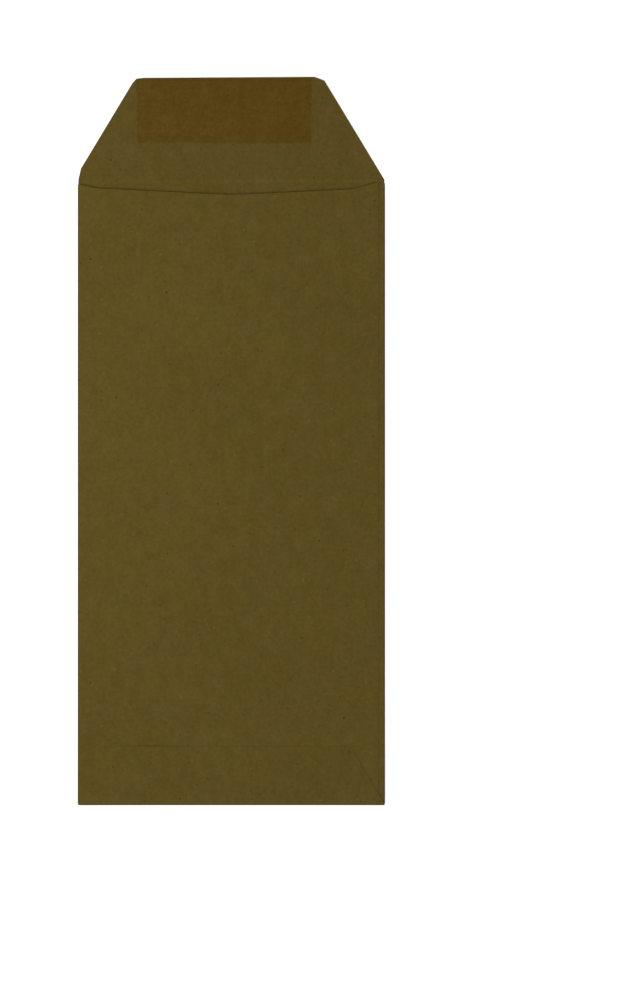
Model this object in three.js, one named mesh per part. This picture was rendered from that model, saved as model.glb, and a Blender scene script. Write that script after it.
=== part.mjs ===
// A tall pocket envelope of plain brown paper, lying on its address side with the flap open.
// It is one cut blank, folded and pasted: the front wall carries the flap at the top, the back
// wall at its left side, a narrow seam flap at its right side and a bottom flap below.
// Units are millimetres. +X runs towards the side seam, +Y towards the flap and +Z up.
// The origin is the centre of the address side, which is the face that the envelope lies on.
import * as THREE from 'three';

// Driving dimensions.
const pocketWidth = 109;
const pocketHeight = 221;
const paperThickness = 0.12;
const pocketGap = 0.4; // air between the two walls while the envelope lies empty
const pasteThickness = 0.05;
const gumThickness = 0.05;
const closedClearance = 0.3; // between the gum and the back wall when the flap is shut

const flapHeight = 37.4;
const flapTopTilt = 0.4; // how much lower the left end of the flap's top edge is
const flapTopInsetLeft = 20.5;
const flapTopInsetRight = 22.3;
const flapCornerRadius = 4;
const flapShoulderHeight = 4.9; // the steep stretch beside the crease, on the left only
const flapShoulderInset = 1.1;
const creaseInset = 0.2;

const gumWidth = 62.2;
const gumHeight = 22.8;
const gumEdgeMargin = 0.2; // bare paper left between the gum and the flap's top edge
const gumInsetLeft = 20.7;
const gumTopCornerRadius = 1.5;
const gumBottomCornerRadius = 0.5;

const throatDepth = 4.6; // how far the mouth's edge dips below the crease at its middle
const throatVertexRadius = 30;
const throatLeftDrop = 0.8;
const throatLeftShoulderInset = 6.6;
const throatLeftShoulderDrop = 2.2;
const throatRightDrop = 0.05;
const throatRightShoulderInset = 11.7;
const throatRightShoulderDrop = 2.6;
const throatShoulderRadius = 3;

const backSetback = 2.3; // from the right fold to the cut edge of the back wall
const seamFlapWidth = 13;
const seamFlapTopDrop = 10.6; // from the crease to the top of the seam flap's cut edge
const seamFlapBottomRise = 3;
const seamFlapShoulder = 3.6; // from the right fold to where the top end starts to slant
const seamFlapTopInset = 0.2; // how far the top end beside the fold stays below the crease
const sidePasteWidth = 7;
const sidePasteInset = 1.5;
const sidePasteEndInset = 4;

const bottomFlapHeight = 20.8;
const bottomFlapTopInset = 12.2;
const bottomFlapCornerRadius = 2;
const bottomPasteWidth = 9;
const bottomPasteInset = 2;

const layerClearance = 0.05; // between a layer's end and the bend of the sheet around it
const bendSegments = 16;
const cornerSegments = 8;

// Layers, counted up from the surface that the envelope lies on.
const frontTop = paperThickness;
const seamFlapBottom = frontTop + pocketGap;
const seamFlapTop = seamFlapBottom + paperThickness;
const backBottom = seamFlapTop + pasteThickness;
const backTop = backBottom + paperThickness;
const bottomFlapBottom = backTop + pasteThickness;
const stackTop = bottomFlapBottom + paperThickness;

// Bends: each one goes round half a circle, from the front wall to the layer that it carries.
const leftBendRadius = backTop / 2;
const rightBendRadius = seamFlapTop / 2;
const bottomBendRadius = stackTop / 2;

// The flap's crease turns about an axis half way up the shut envelope, so that the shut flap
// lies just above the back wall. The crease is as wide as the half turn of paper that it makes.
const creaseY = pocketHeight / 2;
const flapAxisZ = (backTop + closedClearance + gumThickness + paperThickness) / 2;
const creaseHalfWidth = (Math.PI / 2) * (flapAxisZ - paperThickness / 2);

// Where the flat stretches of the sheet begin and end.
const leftEdge = -pocketWidth / 2;
const rightEdge = pocketWidth / 2;
const bottomEdge = -pocketHeight / 2;
const leftBendX = leftEdge + leftBendRadius;
const rightBendX = rightEdge - rightBendRadius;
const bottomBendY = bottomEdge + bottomBendRadius;
const frontEndY = creaseY - creaseHalfWidth;
const flapStartY = creaseY + creaseHalfWidth;
const backCutX = rightEdge - backSetback;
const flapTopLeftX = leftEdge + flapTopInsetLeft;
const flapTopRightX = rightEdge - flapTopInsetRight;

// Brown paper, the darker film of dried gum, and the paste between the layers.
const paperFinish = { color: 0x5a4c22, roughness: 0.85, metalness: 0 };
const gumFinish = { color: 0x564217, roughness: 0.4, metalness: 0 };
const pasteFinish = { color: 0xb9ab84, roughness: 0.6, metalness: 0 };

// A closed outline through corners of the form [x, y, radius]; a radius of 0 leaves it sharp.
function roundedOutline(corners) {
  const shape = new THREE.Shape();
  const count = corners.length;
  corners.forEach(([x, y, radius], index) => {
    const corner = new THREE.Vector2(x, y);
    const before = new THREE.Vector2(...corners[(index + count - 1) % count]);
    const after = new THREE.Vector2(...corners[(index + 1) % count]);
    const towardsBefore = before.sub(corner).normalize();
    const towardsAfter = after.sub(corner).normalize();
    const halfAngle = Math.acos(towardsBefore.dot(towardsAfter)) / 2;
    const reach = radius / Math.tan(halfAngle);
    const start = corner.clone().addScaledVector(towardsBefore, reach);
    const end = corner.clone().addScaledVector(towardsAfter, reach);
    if (index === 0) {
      shape.moveTo(start.x, start.y);
    } else {
      shape.lineTo(start.x, start.y);
    }
    if (radius > 0) {
      const inward = towardsBefore.clone().add(towardsAfter).normalize();
      const centre = corner.clone().addScaledVector(inward, radius / Math.sin(halfAngle));
      const startAngle = start.sub(centre).angle();
      const endAngle = end.sub(centre).angle();
      const turnsInward = towardsAfter.cross(towardsBefore) < 0;
      shape.absarc(centre.x, centre.y, radius, startAngle, endAngle, turnsInward);
    }
  });
  shape.closePath();
  return shape;
}

// A flat layer of the given outline, lying at the given height.
function layer(name, corners, bottomZ, thickness, finish) {
  const geometry = new THREE.ExtrudeGeometry(roundedOutline(corners), {
    depth: thickness,
    bevelEnabled: false,
    curveSegments: cornerSegments,
  });
  const mesh = new THREE.Mesh(geometry, new THREE.MeshStandardMaterial(finish));
  mesh.name = name;
  mesh.position.z = bottomZ;
  return mesh;
}

// Half a tube of paper, drawn around its own axis with its open side towards local +X.
function bend(name, radius, length) {
  const shape = new THREE.Shape();
  shape.absarc(0, 0, radius, Math.PI / 2, (3 * Math.PI) / 2, false);
  shape.absarc(0, 0, radius - paperThickness, (3 * Math.PI) / 2, Math.PI / 2, true);
  shape.closePath();
  const geometry = new THREE.ExtrudeGeometry(shape, {
    depth: length,
    bevelEnabled: false,
    curveSegments: bendSegments,
  });
  const mesh = new THREE.Mesh(geometry, new THREE.MeshStandardMaterial(paperFinish));
  mesh.name = name;
  return mesh;
}

function makeFrontPanel() {
  const corners = [
    [leftBendX, bottomBendY, 0],
    [rightBendX, bottomBendY, 0],
    [rightBendX, frontEndY, 0],
    [leftBendX, frontEndY, 0],
  ];
  return layer('front_panel', corners, 0, paperThickness, paperFinish);
}

function makeLeftFold() {
  const mesh = bend('left_fold', leftBendRadius, frontEndY - bottomBendY);
  mesh.rotation.x = Math.PI / 2;
  mesh.position.set(leftBendX, frontEndY, leftBendRadius);
  return mesh;
}

function makeRightFold() {
  const mesh = bend('right_fold', rightBendRadius, frontEndY - bottomBendY);
  mesh.rotation.set(Math.PI / 2, 0, Math.PI, 'ZYX');
  mesh.position.set(rightBendX, bottomBendY, rightBendRadius);
  return mesh;
}

function makeBottomFold() {
  const mesh = bend('bottom_fold', bottomBendRadius, pocketWidth);
  mesh.rotation.set(Math.PI / 2, 0, Math.PI / 2, 'ZYX');
  mesh.position.set(leftEdge, bottomBendY, bottomBendRadius);
  return mesh;
}

function makeFlapCrease() {
  const corners = [
    [leftEdge + creaseInset, frontEndY, 0],
    [rightEdge - creaseInset, frontEndY, 0],
    [rightEdge - creaseInset, flapStartY, 0],
    [leftEdge + creaseInset, flapStartY, 0],
  ];
  return layer('flap_crease', corners, 0, paperThickness, paperFinish);
}

// The height of the flap's top edge, which runs slightly downhill towards the left.
function flapTopY(x) {
  const drop = (flapTopTilt * (flapTopRightX - x)) / (flapTopRightX - flapTopLeftX);
  return creaseY + flapHeight - drop;
}

// The flap is a trapezium with round corners, seen here from its gummed inner side.
function makeSealFlap() {
  const corners = [
    [leftEdge + creaseInset, flapStartY, 0],
    [rightEdge - creaseInset, flapStartY, 0],
    [flapTopRightX, flapTopY(flapTopRightX), flapCornerRadius],
    [flapTopLeftX, flapTopY(flapTopLeftX), flapCornerRadius],
    [leftEdge + flapShoulderInset, creaseY + flapShoulderHeight, 0],
  ];
  return layer('seal_flap', corners, 0, paperThickness, paperFinish);
}

function makeGumStrip() {
  const left = leftEdge + gumInsetLeft;
  const right = left + gumWidth;
  const topLeftY = flapTopY(left) - gumEdgeMargin;
  const topRightY = flapTopY(right) - gumEdgeMargin;
  const bottomY = topLeftY - gumHeight;
  const corners = [
    [left, bottomY, gumBottomCornerRadius],
    [right, bottomY, gumBottomCornerRadius],
    [right, topRightY, gumTopCornerRadius],
    [left, topLeftY, gumTopCornerRadius],
  ];
  return layer('gum_strip', corners, paperThickness, gumThickness, gumFinish);
}

// The back wall's top edge is the mouth: a shallow V that rises faster at its two ends.
function makeBackPanel() {
  const corners = [
    [leftBendX, bottomBendY + layerClearance, 0],
    [backCutX, bottomBendY + layerClearance, 0],
    [backCutX, creaseY - throatRightDrop, 0],
    [
      rightEdge - throatRightShoulderInset,
      creaseY - throatRightShoulderDrop,
      throatShoulderRadius,
    ],
    [0, creaseY - throatDepth, throatVertexRadius],
    [
      leftEdge + throatLeftShoulderInset,
      creaseY - throatLeftShoulderDrop,
      throatShoulderRadius,
    ],
    [leftBendX, creaseY - throatLeftDrop, 0],
  ];
  return layer('back_panel', corners, backBottom, paperThickness, paperFinish);
}

// The narrow flap that comes round the right fold and is pasted inside the back wall.
function makeSeamFlap() {
  const cutX = rightEdge - seamFlapWidth;
  const low = bottomBendY + layerClearance;
  const corners = [
    [cutX, low + seamFlapBottomRise, 0],
    [rightBendX, low, 0],
    [rightBendX, creaseY - seamFlapTopInset, 0],
    [rightEdge - seamFlapShoulder, creaseY - seamFlapTopInset, 0],
    [cutX, creaseY - seamFlapTopDrop, 0],
  ];
  return layer('seam_flap', corners, seamFlapBottom, paperThickness, paperFinish);
}

function makeSideSeamPaste() {
  const right = backCutX - sidePasteInset;
  const low = bottomBendY + layerClearance + sidePasteEndInset;
  const high = creaseY - seamFlapTopDrop - sidePasteEndInset;
  const corners = [
    [right - sidePasteWidth, low, 0],
    [right, low, 0],
    [right, high, 0],
    [right - sidePasteWidth, high, 0],
  ];
  return layer('side_seam_paste', corners, seamFlapTop, pasteThickness, pasteFinish);
}

// How far the bottom flap's slanted sides have come in at a height above the bottom edge.
function bottomFlapInset(height) {
  return (bottomFlapTopInset * height) / bottomFlapHeight;
}

function makeBottomFlap() {
  const startY = bottomBendY + layerClearance;
  const startInset = bottomFlapInset(startY - bottomEdge);
  const corners = [
    [leftEdge + startInset, startY, 0],
    [rightEdge - startInset, startY, 0],
    [rightEdge - bottomFlapTopInset, bottomEdge + bottomFlapHeight, bottomFlapCornerRadius],
    [leftEdge + bottomFlapTopInset, bottomEdge + bottomFlapHeight, bottomFlapCornerRadius],
  ];
  return layer('bottom_flap', corners, bottomFlapBottom, paperThickness, paperFinish);
}

function makeBottomPaste() {
  const high = bottomFlapHeight - bottomPasteInset;
  const low = high - bottomPasteWidth;
  const lowInset = bottomFlapInset(low) + bottomPasteInset;
  const highInset = bottomFlapInset(high) + bottomPasteInset;
  const corners = [
    [leftEdge + lowInset, bottomEdge + low, 0],
    [rightEdge - lowInset, bottomEdge + low, 0],
    [rightEdge - highInset, bottomEdge + high, 0],
    [leftEdge + highInset, bottomEdge + high, 0],
  ];
  return layer('bottom_paste', corners, backTop, pasteThickness, pasteFinish);
}

// The front wall and the bends of the sheet around it stay still.
const front = new THREE.Group();
front.add(makeFrontPanel(), makeLeftFold(), makeRightFold(), makeBottomFold(), makeFlapCrease());

// The flap turns about the crease, and the back wall lifts about the bottom fold.
const flap = new THREE.Group();
flap.add(makeSealFlap(), makeGumStrip());

const back = new THREE.Group();
back.add(makeBackPanel(), makeSeamFlap(), makeSideSeamPaste(), makeBottomFlap(), makeBottomPaste());

const envelope = new THREE.Group();
envelope.name = 'envelope';
envelope.add(front, flap, back);

export default envelope;
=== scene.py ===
import math

import bpy
import numpy as np
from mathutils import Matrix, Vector


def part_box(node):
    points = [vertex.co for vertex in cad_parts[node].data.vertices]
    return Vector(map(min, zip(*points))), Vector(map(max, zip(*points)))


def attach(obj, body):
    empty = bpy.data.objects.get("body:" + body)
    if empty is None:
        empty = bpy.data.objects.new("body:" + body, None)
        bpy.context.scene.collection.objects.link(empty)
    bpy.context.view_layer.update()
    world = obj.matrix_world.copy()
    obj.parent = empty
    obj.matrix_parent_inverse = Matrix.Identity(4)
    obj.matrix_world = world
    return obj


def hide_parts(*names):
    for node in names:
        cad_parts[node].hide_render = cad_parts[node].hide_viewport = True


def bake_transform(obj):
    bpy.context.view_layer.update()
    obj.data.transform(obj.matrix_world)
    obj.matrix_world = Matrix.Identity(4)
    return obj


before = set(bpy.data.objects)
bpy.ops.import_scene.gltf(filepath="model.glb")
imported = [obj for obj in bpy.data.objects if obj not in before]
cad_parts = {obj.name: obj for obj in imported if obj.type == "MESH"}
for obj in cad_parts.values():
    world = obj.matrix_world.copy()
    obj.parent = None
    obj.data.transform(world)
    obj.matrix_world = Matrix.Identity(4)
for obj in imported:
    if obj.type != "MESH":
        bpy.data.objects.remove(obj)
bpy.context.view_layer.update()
mm = 0.001
print("frame loaded:", len(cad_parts), "nodes")


# What the frame says, in millimetres.
def reach(name):
    low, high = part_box(name)
    return np.array(low) / mm, np.array(high) / mm


def inOrder(corners):
    # corners in order round their middle
    middle = (corners.min(axis=0) + corners.max(axis=0)) / 2
    turn = np.arctan2(corners[:, 1] - middle[1], corners[:, 0] - middle[0])
    return corners[np.argsort(turn)]


def plateOutline(name):
    # corners of a flat plate, seen from above
    corners = np.array([v.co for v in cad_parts[name].data.vertices]) / mm
    return inOrder(np.unique(corners[:, :2].round(3), axis=0))


frontLow, frontHigh = reach("front_panel")
backLow, backHigh = reach("back_panel")
seamLow, seamHigh = reach("seam_flap")
flapLow, flapHigh = reach("seal_flap")
gumLow, gumHigh = reach("gum_strip")
bottomLow, bottomHigh = reach("bottom_flap")
leftEdge = reach("left_fold")[0][0]
rightEdge = reach("right_fold")[1][0]
leftBendX = frontLow[0]
rightBendX = frontHigh[0]
bottomBendY = frontLow[1]
frontEndY = frontHigh[1]
flapStartY = flapLow[1]
creaseY = (frontEndY + flapStartY) / 2
paper = frontHigh[2] - frontLow[2]
frontMid = (frontLow[2] + frontHigh[2]) / 2
seamMid = (seamLow[2] + seamHigh[2]) / 2
backMid = (backLow[2] + backHigh[2]) / 2
bottomMid = (bottomLow[2] + bottomHigh[2]) / 2

backOutline = plateOutline("back_panel")
flapOutline = plateOutline("seal_flap")
seamOutline = plateOutline("seam_flap")
bottomOutline = plateOutline("bottom_flap")
gumOutline = plateOutline("gum_strip")

# the mouth's edge, which lies well within 20 mm of the crease
throatLine = backOutline[backOutline[:, 1] > creaseY - 20]
throatLine = throatLine[np.argsort(throatLine[:, 0])]


def throatY(x):
    return np.interp(x, throatLine[:, 0], throatLine[:, 1])


def sideX(outline, y, right):
    # where the outline's left or right side stands at height y
    middle = (outline[:, 0].min() + outline[:, 0].max()) / 2
    side = outline[(outline[:, 0] > middle) == right]
    side = side[np.argsort(side[:, 1])]
    return np.interp(y, side[:, 1], side[:, 0])


# How the sheet lies, in mm unless a note says otherwise.
lie = {
    "seed": 11,
    "waveCount": 9,
    "offTable": 0.16,  # that the envelope stands off the table in places
    "swells": (23, 41, 37, 29),  # lengths of the slow waves in that, over two pi
    "swellStart": 0.6,
    "cornerCurl": 0.35,  # at the lower left corner
    "rightCurl": 0.6,  # share of that at the lower right corner
    "curlStart": (25, 60),  # from the middle, across and along
    "curlLength": (30, 50),
    "creaseCalm": 0.12,  # share of all this beside the crease, where the shut flap lies close
    "creaseCalmStart": 4,
    "creaseCalmLength": 70,
    "backBulge": 0.5,  # that the empty pocket's back wall stands up
    "seamStrip": 12,  # beside the right fold, where it doesn't
    "bulgeEnds": (-88, 80),  # along the height
    "bulgePower": (0.9, 1.2),  # across and along, fuller when it is less
    "mouthGape": 0.05,  # at the middle of the mouth
    "gapeWidth": 24,
    "gapeStart": 85,
    "flapSpring": 0.010,  # slope of the opened flap
    "cockle": 0.016,  # small waves in the paper
    "backWave": 26,
    "backWaveStart": -100,
    "frontWave": 30,
    "frontShift": (40, -15),  # for other waves than the back wall's
    "frontWaveStart": 2,  # from the crease
    "frontWaveFade": 12,
    "pasteCockle": 0.02,  # puckers along the pasted seam
    "pasteX": 46.5,
    "pasteWidth": 3.5,
    "pasteTop": 80,
    "puckers": (1.9, 6.3, 1.5),  # their length, and the length and size of its wandering
    "mouthCalm": 0.35,  # share of cockles and puckers beside the mouth
    "mouthCalmStart": 70,
    "mouthCalmFade": 25,
    "fade": 20,  # over which the rest of this sets in
    "sideFade": 8,
}
chance = np.random.default_rng(lie["seed"])
waves = []
for _ in range(lie["waveCount"]):
    heading = chance.uniform(0, 2 * math.pi)
    pace = chance.uniform(0.7, 1.4)
    start = chance.uniform(0, 2 * math.pi)
    waves.append((heading, pace, start))


def ripple(x, y, wavelength):
    # smooth random waves between about -1 and 1
    total = 0
    for heading, pace, start in waves:
        along = x * math.cos(heading) + y * math.sin(heading)
        total = total + np.sin(2 * math.pi * pace * along / wavelength + start)
    return total / 4


def smooth(t):
    t = np.clip(t, 0, 1)
    return t * t * (3 - 2 * t)


def rise(value, start, length):
    # 0 up to start, then smoothly up to 1 over the given length
    return smooth((value - start) / length)


def tableLift(x, y):
    # the whole stack on the table, calm beside the crease
    first, second, third, fourth = lie["swells"]
    wave = np.sin(x / first + y / second + lie["swellStart"]) * np.cos(x / third - y / fourth)
    acrossStart, alongStart = lie["curlStart"]
    acrossLength, alongLength = lie["curlLength"]
    sides = rise(-x, acrossStart, acrossLength) + lie["rightCurl"] * rise(x, acrossStart, acrossLength)
    curl = lie["cornerCurl"] * rise(-y, alongStart, alongLength) * sides
    least = lie["creaseCalm"]
    growth = rise(np.abs(y - creaseY), lie["creaseCalmStart"], lie["creaseCalmLength"])
    return (least + (1 - least) * growth) * (lie["offTable"] * (0.5 + 0.5 * wave) + curl)


def backBulge(x, y):
    # the back wall over the front wall, nothing at the folds and at the pasted ends
    low, high = lie["bulgeEnds"]
    powerAcross, powerAlong = lie["bulgePower"]
    across = np.clip((x - leftBendX) / (rightBendX - lie["seamStrip"] - leftBendX), 0, 1)
    along = np.clip((y - low) / (high - low), 0, 1)
    pillow = np.sin(math.pi * across) ** powerAcross * np.sin(math.pi * along) ** powerAlong
    gape = np.exp(-((x / lie["gapeWidth"]) ** 2)) * rise(y, lie["gapeStart"], lie["fade"])

    # puckers and small waves
    length, wander, swing = lie["puckers"]
    seam = np.exp(-(((x - lie["pasteX"]) / lie["pasteWidth"]) ** 2))
    seam = seam * np.sin(y / length + np.sin(y / wander) * swing)
    seam = seam * rise(-y, -lie["pasteTop"], lie["fade"])
    fine = ripple(x, y, lie["backWave"])
    fine = fine * rise(x, leftBendX, lie["sideFade"]) * rise(-x, -rightBendX, lie["sideFade"])
    fine = fine * rise(y, lie["backWaveStart"], lie["fade"])
    least = lie["mouthCalm"]
    calm = least + (1 - least) * rise(-y, -lie["mouthCalmStart"], lie["mouthCalmFade"])
    height = lie["backBulge"] * pillow + lie["mouthGape"] * gape
    return height + calm * (lie["cockle"] * fine + lie["pasteCockle"] * seam)


def frontHeight(x, y):
    # middle of the front wall and the flap
    shiftX, shiftY = lie["frontShift"]
    wave = 1 + ripple(x + shiftX, y + shiftY, lie["frontWave"])
    fade = rise(np.abs(y - creaseY), lie["frontWaveStart"], lie["frontWaveFade"])
    spring = lie["flapSpring"] * np.maximum(0, y - creaseY)
    return frontMid + tableLift(x, y) + spring + 0.5 * lie["cockle"] * wave * fade


def backHeight(x, y):
    return backMid + tableLift(x, y) + backBulge(x, y)


# Building sheets from rows and columns of points.
sheets = {
    "step": 2.2,  # mm between the points of a flat stretch
    "nearEnds": (0.22, 0.7),  # mm from both ends of the extra points there, if no others are given
    "nearest": 0.05,  # share of a step; no two points lie closer
    "bendSteps": 14,
    "cutPress": 0.2,  # share by which the knife has thinned the cut edges
    "cutWidth": 0.25,  # mm of the edge that this takes
    "sharpAngle": 42,  # degrees
    "same": 0.05,  # mm; heights closer than this are one
    "farOff": 9.0,  # mm, where no fold is near
    "near": 5.0,  # mm, what counts as near
}


def stations(start, stop, step, nearEnds=sheets["nearEnds"], also=()):
    # points from start to stop, closer at the two ends, with those of also among them
    length = abs(stop - start)
    count = max(2, round(length / step))
    spots = list(np.linspace(0, length, count + 1))
    for gap in nearEnds:
        spots += [gap, length - gap]
    kept = sorted({0.0, length} | {round(abs(value - start), 6) for value in also})
    for spot in spots:
        if min(abs(spot - other) for other in kept) > sheets["nearest"] * step:
            kept.append(spot)
    direction = 1 if stop > start else -1
    return start + direction * np.array(sorted(kept))


def between(low, high, share):
    return low + (high - low) * share


def spreadUp(lowY, highY, share):
    return between(lowY[None, :], highY[None, :], share[:, None])


def bendAngles():
    return np.linspace(-math.pi / 2, math.pi / 2, sheets["bendSteps"] + 1)


def rolled(outline, x, y):
    # the outline's corners in order, beginning at the one nearest to a point
    first = np.argmin(np.hypot(outline[:, 0] - x, outline[:, 1] - y))
    return np.roll(outline, -first, axis=0)


def distanceTo(points, line):
    # distance of each point from a line through the given corners
    best = np.full(points.shape[:-1], 1e9)
    for start, end in zip(line[:-1], line[1:]):
        run = end - start
        share = np.clip(((points - start) @ run) / max(run @ run, 1e-9), 0, 1)
        nearest = start + share[..., None] * run
        best = np.minimum(best, np.linalg.norm(points - nearest, axis=-1))
    return best


def solidGrid(name, outer, inner, place, cut, fold, material):
    # a closed sheet between two grids of points; the outer grid's normals point away from it
    rows, columns = outer.shape[:2]
    count = rows * columns
    points = np.concatenate([outer.reshape(-1, 3), inner.reshape(-1, 3)]) * mm
    number = np.arange(count).reshape(rows, columns)
    a, b = number[:-1, :-1].ravel(), number[:-1, 1:].ravel()
    c, d = number[1:, 1:].ravel(), number[1:, :-1].ravel()
    faces = np.stack([a, b, c, d], 1).tolist()
    faces += (np.stack([d, c, b, a], 1) + count).tolist()
    rim = list(number[0, :]) + list(number[1:, -1])
    rim += list(number[-1, -2::-1]) + list(number[-2:0:-1, 0])
    for here, after in zip(rim, rim[1:] + rim[:1]):
        faces.append([int(here), int(here + count), int(after + count), int(after)])
    mesh = bpy.data.meshes.new(name)
    mesh.from_pydata(points.tolist(), [], faces)
    mesh.update()

    # what the material reads: the place on the flat blank, the side, and how far folds and cuts are
    sides = np.concatenate([np.ones(count), -np.ones(count)])
    sheetPlace = np.zeros((2 * count, 3), np.float32)
    sheetPlace[:, :2] = np.tile(place.reshape(-1, 2), (2, 1))
    sheetPlace[:, 2] = sides * paper / 2
    places = mesh.attributes.new("sheetPlace", "FLOAT_VECTOR", "POINT")
    places.data.foreach_set("vector", sheetPlace.ravel())
    measures = {
        "sheetSide": sides,
        "cutDistance": np.tile(cut.ravel(), 2),
        "foldDistance": np.tile(fold.ravel(), 2),
    }
    for label, values in measures.items():
        measure = mesh.attributes.new(label, "FLOAT", "POINT")
        measure.data.foreach_set("value", values.astype(np.float32))
    mesh.shade_smooth()
    mesh.set_sharp_from_angle(angle=math.radians(sheets["sharpAngle"]))
    mesh.materials.append(material)
    piece = bpy.data.objects.new(name, mesh)
    bpy.context.scene.collection.objects.link(piece)
    return piece


def paperSheet(name, middle, place, cut, fold):
    # paper of even thickness around its middle surface, a little thinner where the knife pressed it
    normal = np.cross(np.gradient(middle, axis=1), np.gradient(middle, axis=0))
    normal /= np.linalg.norm(normal, axis=-1, keepdims=True)
    press = sheets["cutPress"]
    half = paper / 2 * (1 - press + press * rise(cut, 0, sheets["cutWidth"]))
    outer = middle + normal * half[..., None]
    inner = middle - normal * half[..., None]
    return solidGrid(name, outer, inner, place, cut, fold, paperMaterial)


# Shader nodes.
def addNode(tree, kind, x, y, **settings):
    node = tree.nodes.new(kind)
    node.location = (x, y)
    for key, value in settings.items():
        setattr(node, key, value)
    return node


def feed(tree, source, target):
    # a socket is linked, a number or a colour is set
    if isinstance(source, bpy.types.NodeSocket):
        tree.links.new(source, target)
    else:
        target.default_value = source


def calc(tree, operation, first, second=0.0, third=0.0, clamp=False):
    node = addNode(tree, "ShaderNodeMath", 0, 0, operation=operation, use_clamp=clamp)
    for socket, value in zip(node.inputs, (first, second, third)):
        feed(tree, value, socket)
    return node.outputs[0]


def ramp(tree, value, fromLow, fromHigh, toLow=0.0, toHigh=1.0):
    # smooth from toLow to toHigh, while the value goes from fromLow to fromHigh
    node = addNode(tree, "ShaderNodeMapRange", 0, 0, interpolation_type="SMOOTHSTEP")
    for socket, entry in zip(node.inputs, (value, fromLow, fromHigh, toLow, toHigh)):
        feed(tree, entry, socket)
    return node.outputs["Result"]


def blendOf(tree, share, first, second, mode="MIX"):
    node = addNode(tree, "ShaderNodeMix", 0, 0, data_type="RGBA", blend_type=mode)
    feed(tree, share, node.inputs[0])
    feed(tree, first, node.inputs[6])
    feed(tree, second, node.inputs[7])
    return node.outputs[2]


def toned(tree, share, colour, tone):
    # the colour times a tone, as far as the share says
    return blendOf(tree, share, colour, tone, "MULTIPLY")


def attribute(tree, name, output="Fac"):
    return addNode(tree, "ShaderNodeAttribute", -1400, 0, attribute_name=name).outputs[output]


def stretched(tree, place, turn, longer):
    # space in which a pattern comes out that many times longer along one heading
    node = addNode(tree, "ShaderNodeMapping", -1200, 0, vector_type="TEXTURE")
    feed(tree, place, node.inputs["Vector"])
    node.inputs["Rotation"].default_value = (0, 0, turn)
    node.inputs["Scale"].default_value = (longer, 1, 1)
    return node.outputs["Vector"]


def noiseOf(tree, place, size, detail=2.0, rough=0.5, warp=0.0):
    # smooth noise around 0 whose largest lumps are about size millimetres
    node = addNode(tree, "ShaderNodeTexNoise", -1000, 0, noise_dimensions="3D")
    feed(tree, place, node.inputs["Vector"])
    node.inputs["Scale"].default_value = 1 / size
    node.inputs["Detail"].default_value = detail
    node.inputs["Roughness"].default_value = rough
    node.inputs["Distortion"].default_value = warp
    return calc(tree, "SUBTRACT", node.outputs["Fac"], 0.5)


def specksOf(tree, place, cell, largest, share, soft=0.5):
    # specks of up to the largest radius, one at most in each cell, in the given share of the cells
    node = addNode(tree, "ShaderNodeTexVoronoi", -1000, 0, voronoi_dimensions="2D", feature="F1")
    feed(tree, place, node.inputs["Vector"])
    node.inputs["Scale"].default_value = 1 / cell
    split = addNode(tree, "ShaderNodeSeparateColor", -800, 0)
    feed(tree, node.outputs["Color"], split.inputs[0])
    radius = ramp(tree, split.outputs[0], 1 - share, 1.0, 0.0, largest / cell)
    radius = calc(tree, "MAXIMUM", radius, 0.0005)
    outward = calc(tree, "DIVIDE", node.outputs["Distance"], radius)
    return ramp(tree, outward, 1 - soft, 1 + soft, 1.0, 0.0)


def mottle(tree, tone, depth):
    # a factor for each colour channel from one tone around 0
    node = addNode(tree, "ShaderNodeCombineColor", -200, 200)
    for socket, amount in zip(node.inputs, depth):
        feed(tree, calc(tree, "MULTIPLY_ADD", tone, amount, 1.0), socket)
    return node.outputs[0]


def reliefOf(tree, shader, height, distance):
    bump = addNode(tree, "ShaderNodeBump", 300, -300)
    feed(tree, height, bump.inputs["Height"])
    bump.inputs["Distance"].default_value = distance
    feed(tree, bump.outputs["Normal"], shader.inputs["Normal"])


def newMaterial(name):
    material = bpy.data.materials.new(name)
    material.use_nodes = True
    tree = material.node_tree
    shader = tree.nodes["Principled BSDF"]
    shader.location = (600, 0)
    tree.nodes["Material Output"].location = (900, 0)
    return material, tree, shader


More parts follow.
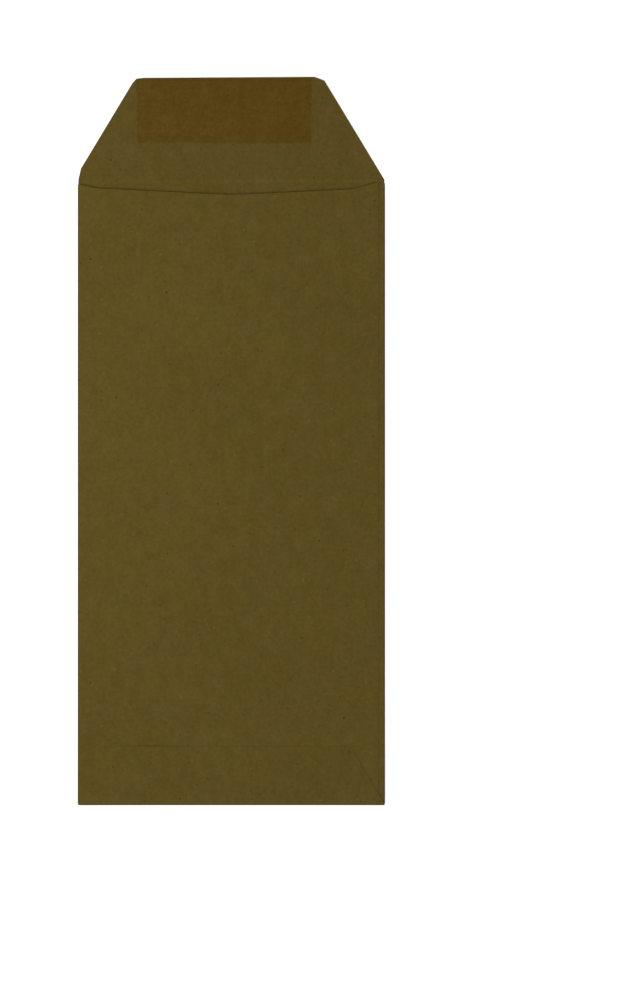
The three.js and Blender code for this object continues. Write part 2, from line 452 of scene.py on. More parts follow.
paperLook = {
    "colour": (0.1035, 0.0751, 0.01073, 1),
    "depth": (0.84, 1.0, 1.9),  # how far the mottling moves each channel
    "clouds": 0.17,  # strength of the largest mottling
    "cloudSize": 38,  # mm
    "formation": 0.43,
    "formationSize": 4.6,
    "formationLength": 1.5,  # times as long along the height
    "grain": 0.75,
    "grainSize": 1.5,
    "fibres": 0.18,
    "fibreWidth": 0.35,
    "fibreLength": 7.0,  # times the width
    "fibreTurns": (1.15, 1.95, 0.25, 2.75),  # headings of the fibres, most of them along the height
    "sideShift": (41.0, 73.0, 0.0),  # mm, so that the sheet's two sides have other fibres and specks
    "warmTone": (1.06, 0.98, 0.86, 1),
    "warmth": 1.8,
    "warmShare": 0.5,  # middle share of that tone
    "warmSize": 8,
    "coolTone": (1.0, 0.97, 1.25, 1),
    "coolness": 2.5,
    "coolShare": 0.4,
    "coolSize": 13,
    "coolStretch": (0.6, 1.3),  # heading and length
    "innerTone": (0.98, 0.963, 1.07, 1),  # the inner side is a little darker
    "foldWidth": (0.2, 0.9),  # mm from a fold at which its tone begins to go and is gone
    "foldBreaks": (2.5, 0.8),  # how far the grain breaks up that tone, and its middle share
    "creasePaleTone": (1.14, 1.13, 1.10, 1),  # lighter along the crease, where the flap has been bent back
    "leftPaleness": 0.4,  # share of that lightening at the crease's left end
    "palenessGrowth": (-45.0, 20.0),  # mm along the crease between which it grows to the full
    "foldShadeTone": (0.64, 0.66, 0.80, 1),  # painted shade along the rounding of the three outer folds
    # the cut edges lighter, partly from their fibres and partly as a painted highlight
    "cutFibreAndHighlightTone": (1.10, 1.10, 1.12, 1),
    "cutWidth": 0.3,
    "wobble": 0.34,  # mm by which the specks are bent out of round
    "wobbleSize": 0.625,
    # specks: mm from one to the next, largest radius, share of the places that have one
    "shives": (9.0, 0.34, 0.16),
    "slivers": (5.4, 0.289, 0.5),
    "dots": (2.7, 0.17, 0.5),
    "flecks": (5.4, 0.323, 0.3),
    "sliverStretch": (0.9, 1.5),
    "fleckStretch": (2.3, 1.6),
    "shiveStrengths": (0.85, 0.5, 0.4),  # of shives, slivers and dots
    "fleckStrength": 0.3,
    "shiveColour": (0.036, 0.017, 0.004, 1),
    "fleckColour": (0.20, 0.15, 0.045, 1),
    "roughness": 0.8,
    "roughGrain": 0.35,
    "innerRoughness": 0.06,  # more of it on the inner side, which isn't calendered
    "specular": 0.12,
    "sheen": 0.02,
    "relief": 0.018 * mm,
    "reliefShares": (1.6, 1.8, 2.0, 0.6),  # of fibres, grain, formation and shives
}


def makePaper():
    look = paperLook
    material, tree, shader = newMaterial("kraftPaper")
    place = attribute(tree, "sheetPlace", "Vector")
    shift = addNode(tree, "ShaderNodeVectorMath", -1200, -300, operation="MULTIPLY_ADD")
    feed(tree, attribute(tree, "sheetSide"), shift.inputs[0])
    shift.inputs[1].default_value = look["sideShift"]
    feed(tree, place, shift.inputs[2])
    ownPlace = shift.outputs[0]

    # lighter and darker, from clouds down to single fibres
    clouds = noiseOf(tree, place, look["cloudSize"], detail=1.5)
    upright = stretched(tree, place, math.pi / 2, look["formationLength"])
    formation = noiseOf(tree, upright, look["formationSize"], detail=2.5, rough=0.8, warp=0.4)
    grain = noiseOf(tree, ownPlace, look["grainSize"], detail=4, rough=0.8)
    strands = 0.0
    for turn in look["fibreTurns"]:
        drawn = stretched(tree, ownPlace, turn, look["fibreLength"])
        fibre = noiseOf(tree, drawn, look["fibreWidth"], detail=2, rough=0.7, warp=0.7)
        strands = calc(tree, "ADD", fibre, strands)
    tone = calc(tree, "MULTIPLY", clouds, look["clouds"])
    tone = calc(tree, "MULTIPLY_ADD", formation, look["formation"], tone)
    tone = calc(tree, "MULTIPLY_ADD", grain, look["grain"], tone)
    tone = calc(tree, "MULTIPLY_ADD", strands, look["fibres"], tone)
    colour = toned(tree, 1.0, look["colour"], mottle(tree, tone, look["depth"]))

    # the hue wanders
    drift = noiseOf(tree, ownPlace, look["warmSize"], detail=2, rough=0.6)
    warm = calc(tree, "MULTIPLY_ADD", drift, look["warmth"], look["warmShare"], clamp=True)
    colour = toned(tree, warm, colour, look["warmTone"])
    slanted = stretched(tree, ownPlace, *look["coolStretch"])
    drift = noiseOf(tree, slanted, look["coolSize"], detail=2, rough=0.6)
    cool = calc(tree, "MULTIPLY_ADD", drift, look["coolness"], look["coolShare"], clamp=True)
    colour = toned(tree, cool, colour, look["coolTone"])

    # the side that faces into the pocket
    inside = ramp(tree, attribute(tree, "sheetSide"), -0.5, 0.5, 1.0, 0.0)
    colour = toned(tree, inside, colour, look["innerTone"])

    # a paler line along the crease, painted shade along the rounding of the three outer folds, and cut
    # edges lighter from their fibres and from a painted highlight
    axes = addNode(tree, "ShaderNodeSeparateXYZ", -1200, 300)
    feed(tree, place, axes.inputs[0])
    atCrease = calc(tree, "GREATER_THAN", axes.outputs[1], frontEndY - 1.0)
    fold = ramp(tree, attribute(tree, "foldDistance"), *look["foldWidth"], 1.0, 0.0)
    breaks = calc(tree, "MULTIPLY_ADD", grain, *look["foldBreaks"], clamp=True)
    fold = calc(tree, "MULTIPLY", fold, breaks)
    # the paler line along the crease
    paleCrease = calc(tree, "MULTIPLY", fold, atCrease)
    # the share of painted shade on the three outer folds, which is the fold tone off the crease
    pressAndFoldShade = calc(tree, "SUBTRACT", fold, paleCrease)
    paleShare = ramp(tree, axes.outputs[0], *look["palenessGrowth"], look["leftPaleness"], 1.0)
    colour = toned(tree, calc(tree, "MULTIPLY", paleCrease, paleShare), colour, look["creasePaleTone"])
    colour = toned(tree, pressAndFoldShade, colour, look["foldShadeTone"])
    # lighter fibres and a painted highlight along the cut edges
    cut = ramp(tree, attribute(tree, "cutDistance"), 0.0, look["cutWidth"], 1.0, 0.0)
    colour = toned(tree, cut, colour, look["cutFibreAndHighlightTone"])

    # dark shives, slivers and dots, and light flecks
    bent = addNode(tree, "ShaderNodeTexNoise", -1000, -600, noise_dimensions="3D")
    feed(tree, ownPlace, bent.inputs["Vector"])
    bent.inputs["Scale"].default_value = 1 / look["wobbleSize"]
    wobble = addNode(tree, "ShaderNodeVectorMath", -800, -600, operation="MULTIPLY_ADD")
    feed(tree, bent.outputs["Color"], wobble.inputs[0])
    wobble.inputs[1].default_value = (look["wobble"], look["wobble"], 0.0)
    feed(tree, ownPlace, wobble.inputs[2])
    loose = wobble.outputs[0]
    shives = specksOf(tree, loose, *look["shives"])
    slivers = specksOf(tree, stretched(tree, loose, *look["sliverStretch"]), *look["slivers"])
    dots = specksOf(tree, loose, *look["dots"])
    for specks, strength in zip((shives, slivers, dots), look["shiveStrengths"]):
        colour = blendOf(tree, calc(tree, "MULTIPLY", specks, strength), colour, look["shiveColour"])
    flecks = specksOf(tree, stretched(tree, loose, *look["fleckStretch"]), *look["flecks"])
    flecks = calc(tree, "MULTIPLY", flecks, look["fleckStrength"])
    colour = blendOf(tree, flecks, colour, look["fleckColour"])
    feed(tree, colour, shader.inputs["Base Color"])

    rough = calc(tree, "MULTIPLY_ADD", grain, look["roughGrain"], look["roughness"])
    rough = calc(tree, "MULTIPLY_ADD", inside, look["innerRoughness"], rough)
    feed(tree, rough, shader.inputs["Roughness"])
    shader.inputs["Specular IOR Level"].default_value = look["specular"]
    shader.inputs["Sheen Weight"].default_value = look["sheen"]
    shader.inputs["Sheen Roughness"].default_value = 0.5

    ofFibres, ofGrain, ofFormation, ofShives = look["reliefShares"]
    height = calc(tree, "MULTIPLY_ADD", strands, ofFibres, calc(tree, "MULTIPLY", grain, ofGrain))
    height = calc(tree, "MULTIPLY_ADD", formation, ofFormation, height)
    height = calc(tree, "MULTIPLY_ADD", shives, ofShives, height)
    reliefOf(tree, shader, height, look["relief"])
    return material


gumLook = {
    "colour": (0.0983, 0.0544, 0.0038, 1),
    "poolSize": 9,  # mm
    "blotSize": 2.2,
    "grainSize": 0.8,
    "streakWidth": 2.0,
    "streakLength": 6.0,  # times the width
    "thickness": (1.7, 1.5, 0.8),  # how far pools, blots and streaks thicken the film
    "thinTone": (1.03, 1.09, 1.6, 1),  # where less gum lies, the paper shows
    "thickTone": (0.95, 0.91, 0.62, 1),
    "tones": (-0.12, -0.45, 0.75),  # how far pools, blots and grain lighten it
    "depth": (0.9, 1.0, 1.5),  # how far that moves each channel
    "edgeWander": 1.2,
    "rimTone": (0.955, 0.93, 0.85, 1),
    "rimWidth": (0.6, 1.6),  # mm from the edge at which the rim begins to go and is gone
    "edgeTone": (1.04, 1.29, 2.55, 1),  # the film runs out to almost nothing at its edge
    "edgeWidth": (0.05, 0.95),
    "dots": (2.8, 0.16, 0.3),  # mm from one to the next, largest radius, share that is there
    "dotStrength": 0.3,
    "dotColour": (0.03, 0.016, 0.002, 1),
    "roughness": 0.40,
    "roughBlots": 0.5,
    "specular": 0.10,
    "relief": 0.02 * mm,
    "reliefShares": (1.5, 0.8, 1.0),  # of blots, grain and streaks
}


def makeGum():
    look = gumLook
    material, tree, shader = newMaterial("driedGum")
    place = attribute(tree, "sheetPlace", "Vector")
    pools = noiseOf(tree, place, look["poolSize"], detail=2.5, rough=0.7, warp=0.5)
    blots = noiseOf(tree, place, look["blotSize"], detail=3, rough=0.7)
    grain = noiseOf(tree, place, look["grainSize"], detail=3, rough=0.75)
    drawn = stretched(tree, place, 0.0, look["streakLength"])
    streaks = noiseOf(tree, drawn, look["streakWidth"], detail=2, rough=0.6)

    # a film that is thick in places and thin in others
    ofPools, ofBlots, ofStreaks = look["thickness"]
    thickness = calc(tree, "MULTIPLY_ADD", pools, ofPools, 0.5)
    thickness = calc(tree, "MULTIPLY_ADD", blots, ofBlots, thickness)
    thickness = calc(tree, "MULTIPLY_ADD", streaks, ofStreaks, thickness, clamp=True)
    thin = toned(tree, 1.0, look["colour"], look["thinTone"])
    thick = toned(tree, 1.0, look["colour"], look["thickTone"])
    colour = blendOf(tree, thickness, thin, thick)
    ofPools, ofBlots, ofGrain = look["tones"]
    tone = calc(tree, "MULTIPLY", grain, ofGrain)
    tone = calc(tree, "MULTIPLY_ADD", blots, ofBlots, tone)
    tone = calc(tree, "MULTIPLY_ADD", pools, ofPools, tone)
    colour = toned(tree, 1.0, colour, mottle(tree, tone, look["depth"]))

    # a darker rim, and outside of it a soft edge, but not where the knife cut through flap and film
    inward = calc(tree, "MULTIPLY_ADD", blots, look["edgeWander"], attribute(tree, "cutDistance"))
    rim = ramp(tree, inward, *look["rimWidth"], 1.0, 0.0)
    colour = toned(tree, rim, colour, look["rimTone"])
    soft = calc(tree, "LESS_THAN", attribute(tree, "foldDistance"), sheets["near"])
    soft = calc(tree, "MULTIPLY", ramp(tree, inward, *look["edgeWidth"], 1.0, 0.0), soft)
    colour = toned(tree, soft, colour, look["edgeTone"])

    dots = calc(tree, "MULTIPLY", specksOf(tree, place, *look["dots"]), look["dotStrength"])
    colour = blendOf(tree, dots, colour, look["dotColour"])
    feed(tree, colour, shader.inputs["Base Color"])
    rough = calc(tree, "MULTIPLY_ADD", blots, look["roughBlots"], look["roughness"])
    feed(tree, rough, shader.inputs["Roughness"])
    shader.inputs["Specular IOR Level"].default_value = look["specular"]
    ofBlots, ofGrain, ofStreaks = look["reliefShares"]
    height = calc(tree, "MULTIPLY_ADD", blots, ofBlots, calc(tree, "MULTIPLY", grain, ofGrain))
    height = calc(tree, "MULTIPLY_ADD", streaks, ofStreaks, height)
    reliefOf(tree, shader, height, look["relief"])
    return material


pasteLook = {
    "colour": (0.46, 0.39, 0.23, 1),
    "dryTone": (1.08, 1.06, 1.02, 1),
    "blotSize": 3.0,  # mm
    "grainSize": 0.6,
    "roughness": 0.6,
    "roughBlots": 0.6,
    "relief": 0.015 * mm,
}


def makePaste():
    look = pasteLook
    material, tree, shader = newMaterial("driedPaste")
    place = attribute(tree, "sheetPlace", "Vector")
    blots = noiseOf(tree, place, look["blotSize"], detail=3, rough=0.65, warp=0.6)
    grain = noiseOf(tree, place, look["grainSize"])
    dry = calc(tree, "MULTIPLY_ADD", blots, 3.0, 0.5, clamp=True)
    feed(tree, toned(tree, dry, look["colour"], look["dryTone"]), shader.inputs["Base Color"])
    rough = calc(tree, "MULTIPLY_ADD", blots, look["roughBlots"], look["roughness"])
    feed(tree, rough, shader.inputs["Roughness"])
    reliefOf(tree, shader, calc(tree, "ADD", blots, grain), look["relief"])
    return material


paperMaterial = makePaper()
gumMaterial = makeGum()
pasteMaterial = makePaste()
print("materials made")


# The front wall, the crease and the flap, one sheet with its outer side down.
flapSheet = {
    "nearSides": (0.25, 0.8, 1.5),  # mm from the sides of the extra columns there
    "creaseSteps": 18,
    "paleLineRise": 0.3,  # mm from the middle of the crease up to its paler line
    "paleLineTilt": 0.004,
    "cornerDrop": 3,  # mm from the top edge, within which the solid's round corners lie
    "bevelMore": (0.75, 0.45),  # mm by which the left and right bevels begin before those corners
    "leftKnee": (-1.96, -0.3),  # mm from the left corner's beginning to the bevel's middle point
    "rightEnd": 0.75,  # mm that the right bevel ends above its corner's end
}


def bevelledFlap():
    # the flap's outline with short straight bevels for round top corners
    atTop = flapOutline[:, 1] > flapHigh[1] - flapSheet["cornerDrop"]
    corners = flapOutline[atTop]
    left, right = corners[corners[:, 0] < 0], corners[corners[:, 0] > 0]
    leftTop, leftSide = left[np.argmax(left[:, 0])], left[np.argmin(left[:, 1])]
    rightTop, rightSide = right[np.argmin(right[:, 0])], right[np.argmin(right[:, 1])]
    edge = (rightTop - leftTop) / np.linalg.norm(rightTop - leftTop)
    side = rightSide - (flapHigh[0], flapStartY)
    leftMore, rightMore = flapSheet["bevelMore"]
    bevels = [
        leftTop + edge * leftMore,
        leftTop + flapSheet["leftKnee"],
        leftSide,
        rightTop - edge * rightMore,
        rightSide + side / np.linalg.norm(side) * flapSheet["rightEnd"],
    ]
    return inOrder(np.concatenate([flapOutline[~atTop], bevels]))


def makeFrontAndFlap():
    step = sheets["step"]
    across = stations(rightEdge, leftEdge, step, flapSheet["nearSides"])
    share = (across - leftEdge) / (rightEdge - leftEdge)
    xRows, yRows = [], []
    for y in stations(bottomBendY, frontEndY, step):
        xRows.append(between(leftBendX, rightBendX, share))
        yRows.append(np.full_like(share, y))
    for y in np.linspace(frontEndY, flapStartY, flapSheet["creaseSteps"] + 1)[1:]:
        xRows.append(between(flapLow[0], flapHigh[0], share))
        yRows.append(np.full_like(share, y))

    # the flap's rows follow its slightly tilted top edge
    outline = bevelledFlap()
    topLeft = outline[outline[:, 0] < 0]
    topLeft = topLeft[np.argmax(topLeft[:, 1])]
    topRight = outline[outline[:, 0] > 0]
    topRight = topRight[np.argmax(topRight[:, 1])]
    tilt = (topRight[1] - topLeft[1]) / (topRight[0] - topLeft[0])

    def topY(x):
        return topLeft[1] + tilt * (x - topLeft[0])

    level = (outline[:, 1] - flapStartY) / (topY(outline[:, 0]) - flapStartY)
    levelled = np.stack([outline[:, 0], level], 1)
    height = topLeft[1] - flapStartY
    same = sheets["same"]
    corners = tuple(round(value, 4) for value in level * height if same < value < height - same)
    for up in stations(0, height, step, also=corners)[1:]:
        low = sideX(levelled, up / height, False)
        high = sideX(levelled, up / height, True)
        x = between(low, high, share)
        xRows.append(x)
        yRows.append(flapStartY + up / height * (topY(x) - flapStartY))
    x, y = np.array(xRows), np.array(yRows)
    place = np.stack([x, y], -1)
    middle = np.stack([x, y, frontHeight(x, y)], -1)
    cut = distanceTo(place, rolled(outline, flapHigh[0], flapStartY))
    sides = np.minimum(np.abs(x - leftBendX), np.abs(x - rightBendX))
    sides = np.minimum(sides, np.abs(y - bottomBendY))
    paleLineY = creaseY + flapSheet["paleLineRise"] + flapSheet["paleLineTilt"] * x
    fold = np.minimum(np.where(y < frontEndY, sides, sheets["farOff"]), np.abs(y - paleLineY))
    piece = paperSheet("frontAndFlap", middle, place, cut, fold)
    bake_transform(piece)
    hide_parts("front_panel", "flap_crease", "seal_flap")


# The back wall in two halves, the left one with the left fold.
backSheet = {
    "nearSides": (0.25, 0.8),  # mm from the sides and the ends of the extra points there
    "nearTop": (0.2, 0.6, 1.2),
    "nearMiddle": 0.3,  # mm; the mouth's corners closer to the middle than this get no row
    "seamPress": 0.04,  # mm that the cut edge is pressed down on the seam flap
    "seamPressStart": 1.2,  # mm from the edge
    "seamPressLength": 1.0,
    "cornerPress": 0.16,  # mm more of it beside the crease
    "cornerLength": 9,
}


def backCut(x, y):
    line = rolled(backOutline, backHigh[0], backLow[1])[:-1]
    return distanceTo(np.stack([x, y], -1), line)


def makeBackLeft():
    # round the left fold and on to the middle of the back wall
    radius = (backMid - frontMid) / 2
    angles = bendAngles()
    corners = throatLine[throatLine[:, 0] < -backSheet["nearMiddle"]][1:, 0]
    flat = stations(leftBendX, 0, sheets["step"], backSheet["nearSides"], also=corners)[1:]
    x = np.concatenate([leftBendX - radius * np.cos(angles), flat])
    bendZ = (frontMid + backMid) / 2 + radius * np.sin(angles)
    z = np.concatenate([bendZ, np.full_like(flat, backMid)])
    arc = radius * (angles + math.pi / 2)
    run = np.concatenate([arc, arc[-1] + flat - leftBendX])
    top = np.concatenate([between(frontEndY, throatY(leftBendX), arc / arc[-1]), throatY(flat)])
    bottom = np.concatenate([np.full_like(arc, bottomBendY), np.full_like(flat, backLow[1])])
    height = top.max() - bottomBendY
    share = stations(0, height, sheets["step"], backSheet["nearTop"]) / height
    y = spreadUp(bottom, top, share)
    x = np.broadcast_to(x, y.shape)
    run = np.broadcast_to(run, y.shape)
    middle = np.stack([x, y, z + tableLift(x, y) + backBulge(x, y)], -1)
    place = np.stack([leftBendX - run, y], -1)
    fold = np.abs(run - arc[-1] / 2)
    piece = paperSheet("backLeft", middle, place, backCut(x, y), fold)
    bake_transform(piece)
    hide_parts("left_fold", "back_panel")


def edgePress(x, y):
    # the back wall's cut edge is pasted right down on the seam flap, most of all at the crease
    outward = x - backHigh[0]
    edge = rise(outward, -backSheet["seamPressStart"], backSheet["seamPressLength"])
    length = backSheet["cornerLength"]
    corner = rise(outward, -length, length) * rise(y - creaseY, -length, length)
    return -backSheet["seamPress"] * edge - backSheet["cornerPress"] * corner


def makeBackRight():
    # from the middle of the back wall to its cut edge beside the right fold
    corners = throatLine[throatLine[:, 0] > backSheet["nearMiddle"]][:-1, 0]
    flat = stations(0, backHigh[0], sheets["step"], backSheet["nearSides"], also=corners)
    top = throatY(flat)
    height = top.max() - bottomBendY
    share = stations(0, height, sheets["step"], backSheet["nearTop"]) / height
    y = spreadUp(np.full_like(flat, backLow[1]), top, share)
    x = np.broadcast_to(flat, y.shape)
    middle = np.stack([x, y, backHeight(x, y) + edgePress(x, y)], -1)
    run = math.pi * (backMid - frontMid) / 2 + x - leftBendX
    place = np.stack([leftBendX - run, y], -1)
    fold = np.full_like(x, sheets["farOff"])
    piece = paperSheet("backRight", middle, place, backCut(x, y), fold)
    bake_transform(piece)
    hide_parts("back_panel")


# The seam flap and the right fold.
seamSheet = {
    "nearSides": (0.25, 0.8),  # mm from the sides and the ends of the extra points there
    "nearTop": (0.2, 0.6),
    "endPress": 0.7,  # share of its height by which the top end is pressed flat
    "endLength": 7.0,  # mm of the flap that this takes
}


def makeSeamFlap():
    # from its free edge inside the back wall, round the right fold to the front wall
    radius = (seamMid - frontMid) / 2
    angles = bendAngles()[::-1]
    flat = stations(seamLow[0], rightBendX, sheets["step"], seamSheet["nearSides"])[:-1]
    x = np.concatenate([flat, rightBendX + radius * np.cos(angles)])
    bendZ = (frontMid + seamMid) / 2 + radius * np.sin(angles)
    z = np.concatenate([np.full_like(flat, seamMid), bendZ])
    arc = radius * (angles + math.pi / 2)
    run = np.concatenate([arc[0] + rightBendX - flat, arc])
    topRow = seamOutline[seamOutline[:, 1] > 0]
    lowRow = seamOutline[seamOutline[:, 1] < 0]
    topRow = topRow[np.argsort(topRow[:, 0])]
    lowRow = lowRow[np.argsort(lowRow[:, 0])]
    top = np.interp(x, topRow[:, 0], topRow[:, 1])
    top[len(flat):] = between(frontEndY, topRow[-1, 1], arc / arc[0])
    bottom = np.interp(x, lowRow[:, 0], lowRow[:, 1])
    height = top.max() - bottom.min()
    share = stations(0, height, sheets["step"], seamSheet["nearTop"]) / height
    y = spreadUp(bottom, top, share)
    x = np.broadcast_to(x, y.shape)
    run = np.broadcast_to(run, y.shape)
    pressAndFoldShade = seamSheet["endPress"] * smooth((y - top.max()) / seamSheet["endLength"] + 1)
    z = frontMid + (z - frontMid) * (1 - pressAndFoldShade)
    middle = np.stack([x, y, z + tableLift(x, y) + backBulge(x, y)], -1)
    place = np.stack([rightBendX + run, y], -1)
    cut = distanceTo(np.stack([x, y], -1), rolled(seamOutline, rightBendX, seamHigh[1]))
    fold = np.abs(run - arc[0] / 2)
    piece = paperSheet("seamFlapSheet", middle, place, cut, fold)
    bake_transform(piece)
    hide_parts("right_fold", "seam_flap")


# The bottom fold and the bottom flap, in two halves.
bottomSheet = {
    "cornerDrop": 4,  # mm from the top edge, within which the flap's round corners lie
    "nearTop": (0.2, 0.6, 1.2),  # mm from the ends of the extra rows there
    "nearSides": (0.005, 0.014),  # the same for the sides, as shares of half the width
    "foldWidth": 0.998,  # share of the pocket's width that the fold has
    "restGap": 0.008,  # mm between layers that touch and aren't pasted
    "pasteIn": 1.8,  # mm from the cut edges to where the paste is at its full height
    "edgeLift": 0.22,  # mm at the loose stretch of the top edge
    "liftX": -28.0,
    "liftWidth": 8.5,
    "liftLength": 3.5,
}


def bottomGap(x, y, cut):
    # pasted in the middle, down on the back wall at the cut edges, loose along one stretch
    rest = bottomSheet["restGap"]
    gap = rest + (bottomMid - backMid - paper - rest) * rise(cut, 0, bottomSheet["pasteIn"])
    loose = np.exp(-(((x - bottomSheet["liftX"]) / bottomSheet["liftWidth"]) ** 4))
    loose = loose * (1 - rise(bottomHigh[1] - y, 0, bottomSheet["liftLength"]))
    return gap + bottomSheet["edgeLift"] * loose * (y > bottomBendY)


def makeBottomHalf(name, right):
    # round the bottom fold and up the outside of the back wall
    radius = (bottomMid - frontMid) / 2
    angles = bendAngles()
    corners = bottomOutline[bottomOutline[:, 1] > bottomHigh[1] - bottomSheet["cornerDrop"]][:, 1]
    corners = corners[corners < bottomHigh[1] - sheets["same"]]
    flat = stations(bottomLow[1], bottomHigh[1], sheets["step"], bottomSheet["nearTop"], also=corners)
    y = np.concatenate([bottomBendY - radius * np.cos(angles), flat])
    bendZ = (frontMid + bottomMid) / 2 + radius * np.sin(angles)
    z = np.concatenate([bendZ, np.full_like(flat, bottomMid)])
    arc = radius * (angles + math.pi / 2)
    run = np.concatenate([arc, arc[-1] + flat - bottomBendY])
    edge = rightEdge if right else leftEdge
    startSide = sideX(bottomOutline, bottomLow[1], right)
    bendSide = between(edge * bottomSheet["foldWidth"], startSide, arc / arc[-1])
    side = np.concatenate([bendSide, sideX(bottomOutline, flat, right)])
    ends = stations(0, 1, sheets["step"] / rightEdge, bottomSheet["nearSides"])
    if not right:
        ends = 1 - ends
    x = side[:, None] * ends[None, :]
    y = np.broadcast_to(y[:, None], x.shape)
    z = np.broadcast_to(z[:, None], x.shape)
    run = np.broadcast_to(run[:, None], x.shape)
    cut = distanceTo(np.stack([x, y], -1), rolled(bottomOutline, bottomHigh[0], bottomLow[1]))
    onFlap = y > bottomBendY + 0.01
    onWall = backHeight(x, y) + paper + bottomGap(x, y, cut)
    height = np.where(onFlap, onWall, z + tableLift(x, np.full_like(y, bottomBendY)))
    middle = np.stack([x, y, height], -1)
    place = np.stack([x, bottomBendY - run], -1)
    cut = np.where(onFlap, cut, sheets["near"])  # the fold itself has no cut edge
    fold = np.abs(run - arc[-1] / 2)
    piece = paperSheet(name, middle, place, cut, fold)
    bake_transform(piece)
    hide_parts("bottom_fold", "bottom_flap")


# The gum on the flap and the paste between the layers, as thin films.
films = {
    "gumStep": 1.5,  # mm between points
    "pasteStep": 2.0,
    "span": 60,  # mm across, for which the step holds
    "nearSides": (0.002, 0.006, 0.014),  # extra columns at the sides, as shares of the width
    "nearEnds": (0.1, 0.35, 0.9),  # mm from the ends of the extra rows there
    "edgeShare": 0.25,  # share of its thickness that a film has at its very edge
    "edgeWidth": 0.4,  # mm over which it grows to the full
    "beadIn": 0.6,  # mm from the edge to the middle of the gum's thicker rim
    "beadWidth": 0.35,
    "bead": 0.006,
    "sideCreep": 0.15,  # mm that the wet gum ran past its line before it dried
    "lowCreep": 0.4,
    "trimmed": 1.2,  # mm along the top, where the gum's edge is cut and not run out
    "gumClear": 0.002,  # mm between the gum and the paper
    "gumLess": 0.006,  # mm that it is thinner than the solid
    "pasteClear": 0.004,  # mm between the paste and each layer
}


def filmGrid(name, low, high, left, right, base, thickness, material, step, bead=0.0):
    # a film between two heights, its edges rounded off; left and right give its sides at a height
    height = high - low
    columns = stations(0, 1, step / films["span"], films["nearSides"])
    rows = stations(0, 1, step / height, [gap / height for gap in films["nearEnds"]])
    y = low + height * rows[:, None] + 0 * columns[None, :]
    x = between(left(y), right(y), columns[None, :])
    cut = np.minimum(np.minimum(y - low, high - y), np.minimum(x - left(y), right(y) - x))
    thick = between(films["edgeShare"], 1, rise(cut, 0, films["edgeWidth"])) * thickness
    thick = thick + bead * np.exp(-(((cut - films["beadIn"]) / films["beadWidth"]) ** 2))
    ground = base(x, y)
    outer = np.stack([x, y, ground + thick], -1)
    inner = np.stack([x, y, ground], -1)
    place = np.stack([x, y], -1)
    fold = np.where(high - y < films["trimmed"], sheets["farOff"], 0.0)
    return solidGrid(name, outer, inner, place, cut, fold, material)


def makeGumFilm():
    leftRow = gumOutline[gumOutline[:, 0] < 0]
    rightRow = gumOutline[gumOutline[:, 0] > 0]
    topY = min(leftRow[:, 1].max(), rightRow[:, 1].max())
    lowY = gumLow[1] - films["lowCreep"]
    film = gumHigh[2] - gumLow[2] - films["gumLess"]

    def base(x, y):
        return frontHeight(x, y) + paper / 2 + films["gumClear"]

    def left(y):
        return sideX(gumOutline, y, False) - films["sideCreep"]

    def right(y):
        return sideX(gumOutline, y, True) + films["sideCreep"]

    step, bead = films["gumStep"], films["bead"]
    piece = filmGrid("gumFilm", lowY, topY, left, right, base, film, gumMaterial, step, bead)
    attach(piece, "flap")
    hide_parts("gum_strip")


def pasteFilm(name, low, high, left, right, base):
    film = high[2] - low[2] - 2 * films["pasteClear"]
    step = films["pasteStep"]
    return filmGrid(name, low[1], high[1], left, right, base, film, pasteMaterial, step)


def makeSeamPaste():
    low, high = reach("side_seam_paste")

    def base(x, y):
        return backHeight(x, y) - (backMid - seamMid) + paper / 2 + films["pasteClear"]

    def left(y):
        return np.full_like(y, low[0])

    def right(y):
        return np.full_like(y, high[0])

    piece = pasteFilm("seamPaste", low, high, left, right, base)
    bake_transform(piece)
    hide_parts("side_seam_paste")


def makeBottomPaste(name, isRight):
    low, high = reach("bottom_paste")
    outline = plateOutline("bottom_paste")

    def base(x, y):
        return backHeight(x, y) + paper / 2 + films["pasteClear"]

    def left(y):
        return np.zeros_like(y) if isRight else sideX(outline, y, False)

    def right(y):
        return sideX(outline, y, True) if isRight else np.zeros_like(y)

    piece = pasteFilm(name, low, high, left, right, base)
    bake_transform(piece)
    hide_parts("bottom_paste")


makeFrontAndFlap()
makeBackLeft()
makeBackRight()
makeSeamFlap()
makeBottomHalf("bottomFlapLeft", False)
makeBottomHalf("bottomFlapRight", True)
makeGumFilm()
makeSeamPaste()
makeBottomPaste("bottomPasteLeft", False)
makeBottomPaste("bottomPasteRight", True)
print("sheets made")


# White table, seen as plain white, with the object's faint shadow on it.
table = {
    "size": 3.0,  # m
    "below": 0.05 * mm,
    "colour": (0.45, 0.45, 0.45, 1),
    "roughness": 0.9,
    "specular": 0.1,
    "glow": 0.78,  # added for the camera only
}


def makeTable():
    half = table["size"] / 2
    corners = [(-half, -half, 0), (half, -half, 0), (half, half, 0), (-half, half, 0)]
    mesh = bpy.data.meshes.new("tableTop")
    mesh.from_pydata(corners, [], [(0, 1, 2, 3)])
    mesh.update()
    top = bpy.data.objects.new("tableTop", mesh)
    top.location = (0, 0, -table["below"])
    bpy.context.scene.collection.objects.link(top)
    material, tree, shader = newMaterial("tableWhite")
    shader.inputs["Base Color"].default_value = table["colour"]
    shader.inputs["Roughness"].default_value = table["roughness"]
    shader.inputs["Specular IOR Level"].default_value = table["specular"]
    shader.inputs["Emission Color"].default_value = (1, 1, 1, 1)
    rays = addNode(tree, "ShaderNodeLightPath", 0, -300)
    glow = calc(tree, "MULTIPLY", rays.outputs["Is Camera Ray"], table["glow"])
    feed(tree, glow, shader.inputs["Emission Strength"])
    mesh.materials.append(material)


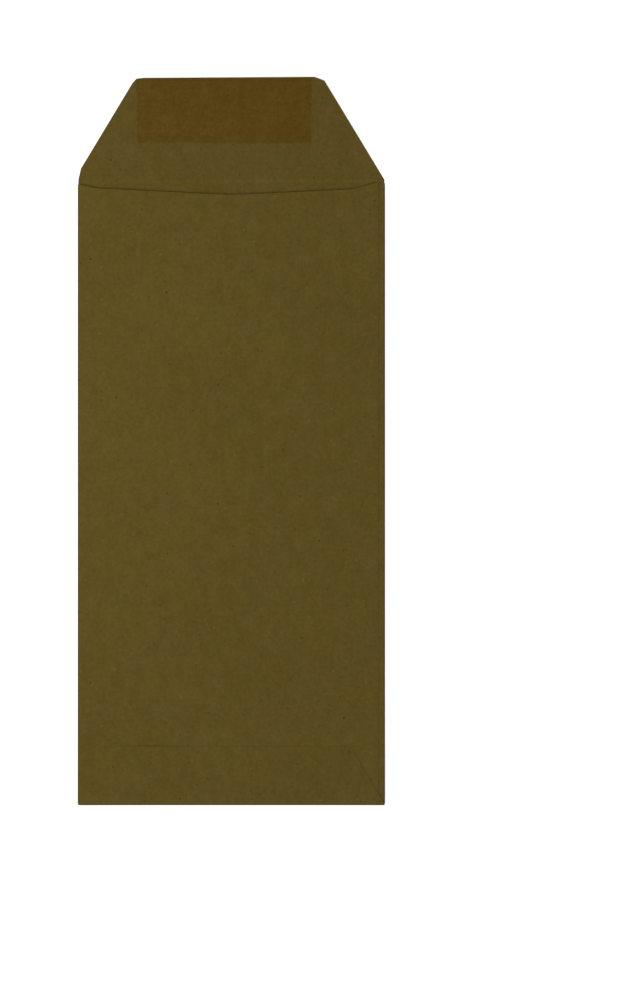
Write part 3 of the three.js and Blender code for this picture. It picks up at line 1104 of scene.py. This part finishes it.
# Soft light all round, dimmer straight above and on the right, a large lamp close on the left,
# and a farther one in front, which shades what stands a paper's thickness above the rest.
light = {
    "sky": 0.535,
    "overhead": 0.22,
    "overheadEdge": (0.80, 0.97),  # upward part of the direction between which the sky dims
    "lean": 0.6,
    "lampPower": 0.76,  # W
    "lampPlace": (-0.28, 0.05, 0.30),  # m
    "lampSize": (0.26, 0.40),
    "frontPower": 0.82,
    "frontFrom": (-0.225, -0.604, 0.766),
    "frontSpread": 25,  # degrees
}


def makeSky():
    world = bpy.data.worlds.new("studio")
    bpy.context.scene.world = world
    world.use_nodes = True
    tree = world.node_tree
    heading = addNode(tree, "ShaderNodeTexCoord", -1000, 0).outputs["Generated"]
    split = addNode(tree, "ShaderNodeSeparateXYZ", -800, 0)
    feed(tree, heading, split.inputs[0])
    level = ramp(tree, split.outputs["Z"], *light["overheadEdge"], light["sky"], light["overhead"])
    lean = calc(tree, "MULTIPLY_ADD", split.outputs["X"], -light["lean"], 1.0)
    rays = addNode(tree, "ShaderNodeLightPath", -600, 300)
    seen = addNode(tree, "ShaderNodeMix", -200, 200, data_type="FLOAT")
    feed(tree, rays.outputs["Is Camera Ray"], seen.inputs[0])
    feed(tree, calc(tree, "MULTIPLY", level, lean), seen.inputs[2])
    seen.inputs[3].default_value = 1.0
    background = tree.nodes["Background"]
    background.inputs["Color"].default_value = (1, 1, 1, 1)
    feed(tree, seen.outputs[0], background.inputs["Strength"])


def makeLamps():
    lamp = bpy.data.lights.new("leftSoftbox", "AREA")
    lamp.shape = "RECTANGLE"
    lamp.size, lamp.size_y = light["lampSize"]
    lamp.energy = light["lampPower"]
    box = bpy.data.objects.new("leftSoftbox", lamp)
    box.location = light["lampPlace"]
    box.rotation_euler = (-box.location).to_track_quat("-Z", "Y").to_euler()
    box.visible_camera = False
    bpy.context.scene.collection.objects.link(box)

    lamp = bpy.data.lights.new("frontLamp", "SUN")
    lamp.energy = light["frontPower"]
    lamp.angle = math.radians(light["frontSpread"])
    front = bpy.data.objects.new("frontLamp", lamp)
    front.rotation_euler = (-Vector(light["frontFrom"])).to_track_quat("-Z", "Y").to_euler()
    bpy.context.scene.collection.objects.link(front)


# The camera looks straight down.
shot = {
    "lens": 135.0,
    "sensor": 36,
    "centre": (27.357, -2.255),  # mm, the middle of the picture
    "tall": 354.7,  # mm that the picture shows at the height of the back wall
}


def makeCamera():
    camera = bpy.data.cameras.new("camera")
    camera.lens = shot["lens"]
    camera.sensor_width = shot["sensor"]
    stand = bpy.data.objects.new("camera", camera)
    distance = shot["tall"] * mm * shot["lens"] / shot["sensor"]
    stand.location = (shot["centre"][0] * mm, shot["centre"][1] * mm, distance + backMid * mm)
    bpy.context.scene.collection.objects.link(stand)
    bpy.context.scene.camera = stand


makeTable()
makeSky()
makeLamps()
makeCamera()
bpy.context.scene.view_settings.view_transform = "Standard"
print("stage, light and camera set")
